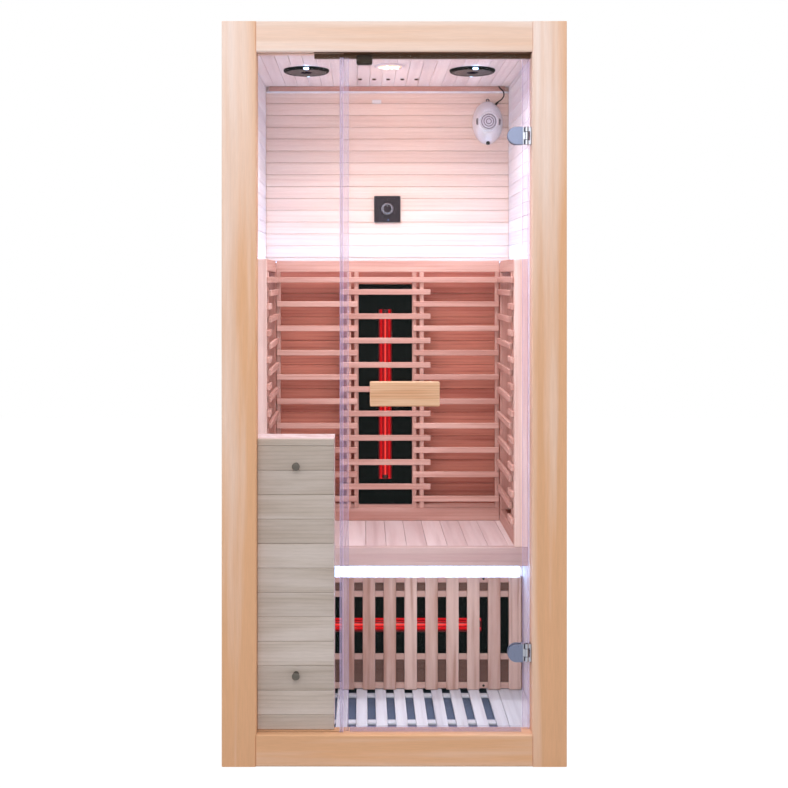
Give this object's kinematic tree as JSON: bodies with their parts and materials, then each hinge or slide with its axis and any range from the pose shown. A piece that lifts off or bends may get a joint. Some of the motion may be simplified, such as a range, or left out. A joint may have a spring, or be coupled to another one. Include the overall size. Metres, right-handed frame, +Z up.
{
  "type": "infrared sauna cabin",
  "caption": "Upright timber infrared sauna cabin with a glass front and hinged glass door, slatted bench and backrest, tube heaters, ceiling lights and a wall controller.",
  "frame": {"origin": "floor level under the middle of the cabin's 880 by 900 mm footprint", "axes": "+X to the right seen from the front, +Y from the glass front towards the back wall, +Z up"},
  "size_m": [0.88, 0.9413, 1.9],
  "materials": {
    "wall_timber": "bare pale softwood boards",
    "frame_timber": "golden softwood, clear sealed",
    "slat_timber": "planed bare softwood",
    "seat_timber": "planed bare softwood",
    "apron_timber": "planed bare softwood",
    "box_timber": "planed bare softwood",
    "handle_timber": "smooth oiled wood",
    "dark_timber": "dark stained wood",
    "base_sheet": "matt blue-grey sheet",
    "clear_glass": "polished clear toughened glass",
    "clear_seal": "clear soft extrusion",
    "satin_metal": "satin",
    "black_metal": "matt black",
    "black_plastic": "matt black",
    "white_plastic": "satin white",
    "silver_plastic": "silver lacquer",
    "lavender_lens": "gloss",
    "blue_lens": "gloss",
    "heater_red": "ruby quartz, lit",
    "led_light": "milky diffuser, lit",
    "warm_light": "frosted, lit"
  },
  "bodies": {
    "cabin": {"left_wall": "wall_timber", "right_wall": "wall_timber", "back_wall": "wall_timber", "back_cornice": "wall_timber", "ceiling_panel": "wall_timber", "front_post_left": "frame_timber", "front_post_right": "frame_timber", "front_top_rail": "frame_timber", "front_sill": "frame_timber", "roof_cover": "frame_timber", "base_panel": "base_sheet", "floor_duckboard": "slat_timber", "fixed_glass": "clear_glass", "fixed_glass_seal": "clear_seal", "hinge_post_seal": "clear_seal", "head_stop": "dark_timber", "magnetic_catch": "black_plastic", "front_box_panel": "box_timber", "front_box_carcass": "box_timber", "front_box_bolt_upper": "satin_metal", "front_box_bolt_lower": "satin_metal", "bench_seat": "seat_timber", "bench_apron": "apron_timber", "bench_frame": "slat_timber", "bench_led_strip": "led_light", "kick_grille": "slat_timber", "calf_heater_housing": "black_metal", "calf_heater_tube": "heater_red", "back_heater_housing": "black_metal", "back_heater_tube": "heater_red", "backrest_grille": "slat_timber", "side_grille_left": "slat_timber", "side_grille_right": "slat_timber", "backrest_led_strip": "led_light", "ceiling_light_left_rim": "black_plastic", "ceiling_light_left_lens": "blue_lens", "ceiling_light_right_rim": "black_plastic", "ceiling_light_right_lens": "blue_lens", "centre_lamp_rim": "satin_metal", "centre_lamp_lens": "warm_light", "controller_plate": "black_plastic", "temperature_sensor": "white_plastic", "ionizer_shell": "silver_plastic", "ionizer_lens": "lavender_lens", "ionizer_lead": "black_plastic", "power_box": "black_plastic", "mains_gland": "black_plastic", "hinge_bracket_upper": "satin_metal", "hinge_bracket_lower": "satin_metal"},
    "door": {"door_glass": "clear_glass", "door_bottom_seal": "clear_seal", "hinge_clamp_upper": "satin_metal", "hinge_clamp_lower": "satin_metal", "handle_outer": "handle_timber", "handle_inner": "handle_timber", "handle_bolt_left": "satin_metal", "handle_bolt_right": "satin_metal", "catch_strike": "satin_metal"},
    "control_knob": {"control_knob": "satin_metal"},
    "ionizer_switch": {"ionizer_switch": "black_plastic"}
  },
  "joints": [
    {"name": "door_swing", "type": "hinge", "parent": "cabin", "child": "door", "pos_m": [0.34, -0.428, 0.9], "axis": [0, 0, 1], "range_deg": [0, 95]},
    {"name": "knob_turn", "type": "hinge", "parent": "cabin", "child": "control_knob", "pos_m": [0, 0.39, 1.473], "axis": [0, -1, 0], "range_deg": [-150, 150]},
    {"name": "switch_push", "type": "slide", "parent": "cabin", "child": "ionizer_switch", "axis": [0, 0, 1], "range_m": [0, 0.002], "stiffness_N_per_m": 300}
  ]
}
